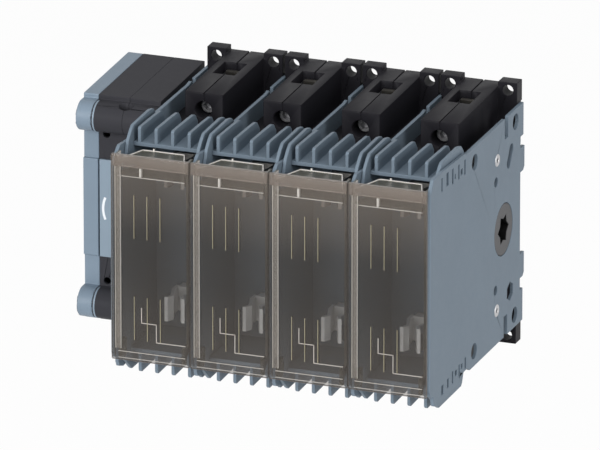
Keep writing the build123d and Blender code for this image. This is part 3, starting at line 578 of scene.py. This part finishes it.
chamberPlan = {"wallInside": 15.35, "wallOutside": 16.8, "deckTop": 46.6, "deckT": 1.7,
               "topFront": 21.3, "bottomFront": 17.1, "back": 50.0, "backT": 2.0,
               "hinge": (5.2, -42.5), "bossR": 2.8, "pinHoleR": 1.36, "bossInset": 0.05,
               "bossSteps": 24, "slotX": -0.5, "slotHalf": (3.45, 1.55), "slotZ": 26.0,
               "edge": 0.22,
               "wall": [(8.0, 38.0), (13.8, 43.7), (16.0, 49.0), (19.4, 52.3), (21.8, 54.0),
                        (41.5, 54.4), (45.2, 53.6), (46.5, 52.6), (50.0, 48.7), (50.0, -48.7),
                        (47.9, -53.6), (46.6, -54.9), (18.7, -55.0), (17.1, -54.0),
                        (6.7, -45.2), (5.2, -45.3), (5.2, -39.7), (8.0, -36.9)]}


def addBoss(work, plan, start, end):  # ring that holds the pin of a cover
    steps = plan["bossSteps"]
    order = []
    for place, radius in ((start, "bossR"), (end, "bossR"), (end, "pinHoleR"), (start, "pinHoleR")):
        circle = roundPoints(plan["hinge"], plan[radius], steps)
        order.append([work.verts.new(prismSpot("x", place, point)) for point in circle])
    for first, second in zip(order, order[1:] + order[:1]):
        for step in range(steps):
            after = (step + 1) % steps
            work.faces.new((first[step], second[step], second[after], first[after]))


def chamberShell(number, plan):  # side walls with their bosses, and the two decks
    middle, top = poleMiddle[number], plan["deckTop"]
    work = bmesh.new()
    for side in (-1, 1):
        low, high = sorted((middle + side * plan["wallInside"],
                            middle + side * plan["wallOutside"]))
        addPrism(work, plan["wall"], "x", low, high)
        addBoss(work, plan, low + plan["bossInset"], high - plan["bossInset"])
    left, right = middle - plan["wallInside"], middle + plan["wallInside"]
    addBlock(work, (left, plan["topFront"], top - plan["deckT"]), (right, plan["back"], top))
    addBlock(work, (left, plan["bottomFront"], -top), (right, plan["back"], plan["deckT"] - top))
    bmesh.ops.recalc_face_normals(work, faces=work.faces)
    piece = newPiece(f"chamberShell{number}", work, "slatePlastic")
    softenEdges(piece, plan["edge"])
    return piece


def chamberBack(number, plan):  # back wall, in blocks round the slots of the fuse jaws
    middle, inner = poleMiddle[number], plan["deckTop"] - plan["deckT"]
    front, back = plan["back"] - plan["backT"], plan["back"]
    halfX, halfZ = plan["slotHalf"]
    left, right = middle - plan["wallInside"], middle + plan["wallInside"]
    slotLeft, slotRight = middle + plan["slotX"] - halfX, middle + plan["slotX"] + halfX
    low, high = plan["slotZ"] - halfZ, plan["slotZ"] + halfZ
    work = bmesh.new()
    addBlock(work, (left, front, -inner), (slotLeft, back, inner))
    addBlock(work, (slotRight, front, -inner), (right, back, inner))
    for start, end in ((-inner, -high), (-low, low), (high, inner)):
        addBlock(work, (slotLeft, front, start), (slotRight, back, end))
    return newPiece(f"chamberBack{number}", work, "slatePlastic")


def makeChamber(number, plan):
    for piece in (chamberShell(number, plan), chamberBack(number, plan)):
        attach(piece, "housing")
        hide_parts(f"fuse_chamber_{number}")


finPlan = {"Count": 4, "Spacing": 7.5 * mm, "Thickness": 1.45 * mm}
finEdge = 0.2
finOutlines = {"upper": [(21.3, 46.4), (21.3, 52.7), (22.0, 53.45), (38.0, 53.2), (45.4, 52.95),
                         (47.0, 52.4), (48.0, 51.3), (50.0, 48.7), (50.0, 46.4)],
               "lower": [(17.1, -46.4), (17.1, -54.7), (18.1, -55.6), (45.4, -55.0),
                         (47.0, -54.4), (48.0, -53.2), (50.0, -48.7), (50.0, -46.4)]}


def finTree(plan):
    wiring, value = startTree("finRow", plan)
    push = wiring.node("GeometryNodeExtrudeMesh", {"mode": "FACES"},
                       {"Mesh": value["Places"], "Offset": (1, 0, 0),
                        "Offset Scale": value["Thickness"], "Individual": False})
    turned = wiring.node("GeometryNodeFlipFaces", {}, {"Mesh": value["Places"]})
    both = wiring.node("GeometryNodeJoinGeometry")
    wiring.link(both, "Geometry", push, turned)
    row = wiring.node("GeometryNodeMeshLine", {},
                      {"Count": value["Count"], "Offset": wiring.vector(X=value["Spacing"])})
    fins = wiring.node("GeometryNodeInstanceOnPoints", {}, {"Points": row, "Instance": both})
    return endTree(wiring, fins, value["Finish"])


def makeFins(number, tree, plan):
    rowHalf = (plan["Count"] - 1) / 2 * plan["Spacing"] / mm
    start = poleMiddle[number] - rowHalf - plan["Thickness"] / mm / 2
    work = bmesh.new()
    for outline in finOutlines.values():
        work.faces.new([work.verts.new(spot(start, *point)) for point in outline])
    host = finishMesh(f"finOutline{number}", work)
    piece = growPiece(f"finRow{number}", tree, host, plan, "slatePlastic")
    softenEdges(piece, finEdge)
    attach(piece, "housing")
    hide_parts(f"fuse_chamber_{number}")


coolingFins = finTree(finPlan)
for number in poleNumbers:
    makeChamber(number, chamberPlan)
    makeFins(number, coolingFins, finPlan)
print("chambers and fins built")


rivetPlan = {"Flange radius": 2.75 * mm, "Bore radius": 1.05 * mm, "Flange height": 0.4 * mm,
             "Tube radius": 1.85 * mm, "Half length": 72.0 * mm}
rivetPlaces = {"depth": 86.0, "heights": (34.0, -34.0), "smooth": 40}


def rivetTree(plan):
    # a tube along X with a rolled rim at both ends
    wiring, value = startTree("hollowRivet", plan)
    rimMiddle = (value["Flange radius"] + value["Bore radius"]) / 2
    rimHalf = (value["Flange radius"] - value["Bore radius"]) / 2
    path = wiring.node("GeometryNodeCurvePrimitiveCircle", {},
                       {"Resolution": 40, "Radius": rimMiddle})
    roundShape = wiring.node("GeometryNodeCurvePrimitiveCircle", {},
                             {"Resolution": 14, "Radius": rimHalf})
    flat = wiring.vector(X=1.0, Y=value["Flange height"] / rimHalf, Z=1.0)
    profile = wiring.node("GeometryNodeTransform", {}, {"Geometry": roundShape, "Scale": flat})
    rim = wiring.node("GeometryNodeCurveToMesh", {},
                      {"Curve": path, "Profile Curve": profile, "Fill Caps": False})
    ends = [wiring.node("GeometryNodeTransform", {},
                        {"Geometry": rim, "Rotation": alongX,
                         "Translation": wiring.vector(X=value["Half length"] * side)})
            for side in (-1, 1)]
    tubeMiddle = (value["Tube radius"] + value["Bore radius"]) / 2
    tubePath = wiring.node("GeometryNodeCurvePrimitiveCircle", {},
                           {"Resolution": 40, "Radius": tubeMiddle})
    wall = wiring.node("GeometryNodeCurvePrimitiveQuadrilateral", {},
                       {0: value["Tube radius"] - value["Bore radius"],
                        1: value["Half length"] * 2})
    tube = wiring.node("GeometryNodeCurveToMesh", {},
                       {"Curve": tubePath, "Profile Curve": wall, "Fill Caps": False})
    laid = wiring.node("GeometryNodeTransform", {}, {"Geometry": tube, "Rotation": alongX})
    whole = wiring.node("GeometryNodeJoinGeometry")
    wiring.link(whole, "Geometry", laid, *ends)
    rivets = wiring.node("GeometryNodeInstanceOnPoints", {},
                         {"Points": value["Places"], "Instance": whole})
    return endTree(wiring, rivets, value["Finish"])


rivetHost = pointMesh("rivetPlaces", [(0, rivetPlaces["depth"], height)
                                      for height in rivetPlaces["heights"]])
rivets = growPiece("hollowRivets", rivetTree(rivetPlan), rivetHost, rivetPlan, "zincSteel")
smoothFaces(rivets.data, rivetPlaces["smooth"])
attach(rivets, "housing")
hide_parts("tie_rivets")


screwPlan = {"Head radius": 3.5 * mm, "Head height": 5.0 * mm, "Chamfer": 0.45 * mm,
             "Key radius": 2.0 * mm, "Key depth": 2.5 * mm, "Shank radius": 2.0 * mm,
             "Shank length": 18.3 * mm}
screwPlaces = {"x": -0.3, "seat": 76.0, "heights": (48.4, -48.4)}


def screwTree(plan):
    # cheese head with a hexagon key hole, its axis along Z, turned to face the front
    wiring, value = startTree("clampScrew", plan)
    lower = value["Head height"] - value["Chamfer"]

    def moved(shape, height):
        return wiring.node("GeometryNodeTransform", {},
                           {"Geometry": shape, "Translation": wiring.vector(Z=height)})

    def cylinder(corners, radius, length):
        return wiring.node("GeometryNodeMeshCylinder", {},
                           {"Vertices": corners, "Radius": radius, "Depth": length})

    drum = moved(cylinder(40, value["Head radius"], lower), lower / 2)
    crown = moved(wiring.node("GeometryNodeMeshCone", {},
                              {"Vertices": 40, "Radius Bottom": value["Head radius"],
                               "Radius Top": value["Head radius"] - value["Chamfer"],
                               "Depth": value["Chamfer"]}), lower)
    key = moved(cylinder(6, value["Key radius"], value["Key depth"] * 2), value["Head height"])
    cut = []
    for solid in (drum, crown):
        hollow = wiring.node("GeometryNodeMeshBoolean", {"operation": "DIFFERENCE"},
                             {"Mesh 1": solid})
        wiring.link(hollow, "Mesh 2", key)
        cut.append(hollow)
    shank = moved(cylinder(32, value["Shank radius"], value["Shank length"]),
                  value["Shank length"] * -0.5)
    whole = wiring.node("GeometryNodeJoinGeometry")
    wiring.link(whole, "Geometry", *cut, shank)
    screws = wiring.node("GeometryNodeInstanceOnPoints", {},
                         {"Points": value["Places"], "Instance": whole,
                          "Rotation": (math.pi / 2, 0, 0)})
    return endTree(wiring, screws, value["Finish"])


screwHost = pointMesh("screwPlaces", [(poleMiddle[number] + screwPlaces["x"],
                                       screwPlaces["seat"], height)
                                      for number in poleNumbers
                                      for height in screwPlaces["heights"]])
screws = growPiece("clampScrews", screwTree(screwPlan), screwHost, screwPlan, "screwSteel")
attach(screws, "housing")
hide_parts("clamp_screws")
print("rivets and screws placed")


coverPlan = {"thickness": 2.0, "paneEdge": 0.6, "frameEdge": 0.2, "gap": 0.02,
             "skirt": (15.7, 16.8), "skirtDepth": 7.6, "skirtSpan": (-36.0, 47.2),
             "ear": (13.45, 15.15), "earTop": -36.5, "earFoot": 1.25, "hinge": (5.2, -42.5),
             "earR": 2.5, "pinR": 1.3, "pinEnd": 16.75, "pinSteps": 20,
             "latchTop": (43.7, 44.9), "latchBottom": (38.2, 39.4), "latchFront": 15.0,
             "latchRear": 9.5, "latchBack": 17.0, "webX": -4.4, "webT": 1.2}


def coverPane(number, plan):
    middle, half = poleMiddle[number], paneSize["halfWidth"]
    work = bmesh.new()
    addBlock(work, (middle - half, 0, paneSize["foot"]),
             (middle + half, plan["thickness"], paneSize["top"]))
    piece = newPiece(f"coverPane{number}", work, "smokedPane")
    softenEdges(piece, plan["paneEdge"], segments=3)
    return piece


def coverFrame(number, plan):  # skirts and latch box, then ears and pins
    middle, front = poleMiddle[number], plan["thickness"] + plan["gap"]
    work = bmesh.new()
    for side in (-1, 1):
        inner, outer = middle + side * plan["skirt"][0], middle + side * plan["skirt"][1]
        addBlock(work, (min(inner, outer), front, plan["skirtSpan"][0]),
                 (max(inner, outer), plan["skirtDepth"], plan["skirtSpan"][1]), 1)
        for face in work.faces:  # painted light: the side turned to the fuse gets the pale lit copy of the smoked plastic
            if abs(face.calc_center_median().x - inner * mm) < mergeGap:
                face.material_index = 0
    latch = [(middle - plan["latchFront"], front), (middle + plan["latchFront"], front),
             (middle + plan["latchRear"], plan["latchBack"]),
             (middle - plan["latchRear"], plan["latchBack"])]
    for low, high in (plan["latchTop"], plan["latchBottom"]):
        addPrism(work, latch, "z", low, high, 1)
    web = middle + plan["webX"]
    addBlock(work, (web - plan["webT"] / 2, front, plan["latchBottom"][1] + plan["gap"]),
             (web + plan["webT"] / 2, plan["latchBack"], plan["latchTop"][0] - plan["gap"]), 1)
    depth, height = plan["hinge"]
    ear = [(front, plan["earTop"]), (front, height - plan["earFoot"])]
    ear += [roundPoint(plan["hinge"], plan["earR"], math.radians(angle))
            for angle in range(-90, 1, 15)]
    ear.append((depth + plan["earR"], plan["earTop"]))
    pin = roundPoints(plan["hinge"], plan["pinR"], plan["pinSteps"])
    for side in (-1, 1):
        earInner, earOuter = (middle + side * end for end in plan["ear"])
        addPrism(work, ear, "x", *sorted((earInner, earOuter)), 1)
        addPrism(work, pin, "x", *sorted((earOuter, middle + side * plan["pinEnd"])), 1)
    piece = newPiece(f"coverFrame{number}", work, "smokedRim", "smokedWall")
    softenEdges(piece, plan["frameEdge"])
    return piece


# X is counted from the middle of the pole, or from the web of the latch box for the last two
linePlan = {"step": [(-4.5, -20.7), (-4.5, -27.3), (2.2, -27.3), (2.2, -35.4), (15.2, -35.4)],
            "stepHalf": 0.16, "depths": (1.6, 1.9), "across": (-15.1, 15.2),
            "heights": ((-44.0, -43.75), (-41.1, -40.85), (37.85, 38.1), (42.4, 42.55),
                        (47.4, 47.6)),
            # painted light: the band and the margin are lighter strips inside the pane
            "band": ((-17.2, 0.4, 42.6), (17.2, 1.6, 47.5)),
            "margin": ((-16.0, 0.9, -39.5), (-13.6, 1.5, 42.4)),
            "marginLeft": ((-16.1, 0.8, -39.5), (-15.9, 1.4, 42.4)),
            "marginRight": ((-13.7, 0.8, -39.5), (-13.5, 1.4, 42.4)),
            "latchHeights": (44.92, 45.2), "latchDepths": (16.5, 17.0),
            "latchSide": (2.4, 16.9), "latchWidth": 0.45,
            "webFoot": ((-0.45, 0.5, 38.7), (0.45, 2.5, 42.4)),
            "webTop": ((-0.35, 16.6, 44.92), (0.35, 17.0, 46.0))}


def addShifted(work, middle, block, slot=0):
    low, high = block
    addBlock(work, (middle + low[0], low[1], low[2]), (middle + high[0], high[1], high[2]), slot)


def coverLines(number, plan, lines):
    # painted highlights where light leaves the clear plastic at its edges, and painted light in the
    # top band and the margin
    middle, half = poleMiddle[number], lines["stepHalf"]
    front, rear = lines["depths"]
    work = bmesh.new()
    for (x0, z0), (x1, z1) in zip(lines["step"], lines["step"][1:]):
        addShifted(work, middle, ((min(x0, x1) - half, front, min(z0, z1) - half),
                                  (max(x0, x1) + half, rear, max(z0, z1) + half)))
    for low, high in lines["heights"]:
        addShifted(work, middle, ((lines["across"][0], front, low),
                                  (lines["across"][1], rear, high)))
    addShifted(work, middle, lines["band"], 1)
    addShifted(work, middle, lines["margin"], 2)
    addShifted(work, middle, lines["marginLeft"])
    addShifted(work, middle, lines["marginRight"])
    low, high = lines["latchHeights"]
    addShifted(work, middle, ((-plan["latchRear"], lines["latchDepths"][0], low),
                              (plan["latchRear"], lines["latchDepths"][1], high)))
    start, end = lines["latchSide"]
    wide, narrow, line = plan["latchFront"], plan["latchRear"], lines["latchWidth"]
    for side in (-1, 1):
        outline = ((wide, start), (narrow, end), (narrow - line, end), (wide - line, start))
        addPrism(work, [(middle + side * x, depth) for x, depth in outline], "z", low, high)
    addShifted(work, middle + plan["webX"], lines["webFoot"])
    addShifted(work, middle + plan["webX"], lines["webTop"])
    return newPiece(f"coverLines{number}", work, "smokedEdge", "smokedBand", "smokedMargin")


ribPlan = {"Width": 0.7 * mm, "Height": 1.0 * mm, "Length": 19.5 * mm}
glintPlan = {"Width": 0.26 * mm, "Height": 0.3 * mm, "Length": 19.5 * mm}
ribPlaces = {"xs": (-7.8, -1.9, 4.0), "middles": (20.05, -25.55)}
ribKinds = (("Ribs", 2.52, ribPlan, "smokedPane"),  # depth in mm, the glints inside the pane
            ("RibGlints", 1.75, glintPlan, "smokedGlint"))


def ribTree(plan):
    # straight moulded rib on the back of a pane, standing up along Z
    wiring, value = startTree("paneRib", plan)
    size = wiring.vector(X=value["Width"], Y=value["Height"], Z=value["Length"])
    bar = wiring.node("GeometryNodeMeshCube", {}, {"Size": size})
    ribs = wiring.node("GeometryNodeInstanceOnPoints", {},
                       {"Points": value["Places"], "Instance": bar})
    return endTree(wiring, ribs, value["Finish"])


def wear(piece, number):  # the piece belongs to one cover
    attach(piece, f"cover_{number}")
    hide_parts(f"fuse_cover_{number}")


def makeCover(number, plan, lines, ribs):
    middle = poleMiddle[number]
    pieces = [coverPane(number, plan), coverFrame(number, plan), coverLines(number, plan, lines)]
    for ending, depth, sizes, materialName in ribKinds:
        host = pointMesh(f"places{ending}{number}",
                         [(middle + x, depth, z) for z in ribPlaces["middles"]
                          for x in ribPlaces["xs"]])
        wear(growPiece(f"cover{ending}{number}", ribs, host, sizes, materialName), number)
    for piece in pieces:
        wear(piece, number)


paneRibs = ribTree(ribPlan)
for number in poleNumbers:
    makeCover(number, coverPlan, linePlan, paneRibs)
print("covers built")


dialPlan = {"centre": (-87.55, -1.9), "face": 65.0, "proud": 0.03, "radius": 11.7, "width": 1.1,
            "steps": 120, "gaps": ((24, 66), (114, 156), (204, 246), (294, 336))}


def printedRing(plan):
    # four arcs printed round the socket of the handle, a little proud of the panel
    inner, outer = plan["radius"], plan["radius"] + plan["width"]
    work = bmesh.new()
    for step in range(plan["steps"]):
        start, end = 360 * step / plan["steps"], 360 * (step + 1) / plan["steps"]
        if any(low <= start < high for low, high in plan["gaps"]):
            continue
        corners = ((inner, start), (outer, start), (outer, end), (inner, end))
        outline = [roundPoint(plan["centre"], radius, math.radians(angle))
                   for radius, angle in corners]
        addPrism(work, outline, "depth", plan["face"] - plan["proud"], plan["face"])
    ring = newPiece("printedRing", work, "printedWhite")
    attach(ring, "housing")


printedRing(dialPlan)


collarPlan = {"x": (-101.5, -100.7), "radius": 6.8, "depth": 63.1, "middle": -1.9,
              "rise": 42.4, "steps": 48, "edge": 0.15}


def shellCollars(plan):  # pale rims where the side shell overlaps the two bosses
    work = bmesh.new()
    for side in (-1, 1):
        middle = (plan["depth"], plan["middle"] + side * plan["rise"])
        addPrism(work, roundPoints(middle, plan["radius"], plan["steps"]), "x", *plan["x"])
    collars = newPiece("shellCollars", work, "panelPlastic")
    softenEdges(collars, plan["edge"])
    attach(collars, "housing")


shellCollars(collarPlan)


# painted light and shade: the copper and steel copies differ in brightness by how lit each part is
keptNodes = {"platedCopper": ("load_terminal", "moving_contact"),
             "dullCopper": ("line_terminal",), "tinnedCopper": ("upper_jaw",),
             "springSteel": ("jaw_springs", "rack_spring"),
             "darkSteel": ("clamp_cages", "switch_shaft"),
             "zincSteel": ("shaft_pinion", "slide_rack", "drive_spindle"),
             "rotorPlastic": ("rotor",)}
for materialName, starts in keptNodes.items():  # nodes whose CAD form stays
    for nodeName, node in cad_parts.items():
        if nodeName.startswith(starts):
            node.data.materials.clear()
            node.data.materials.append(finishes[materialName])
print("inner pieces finished")
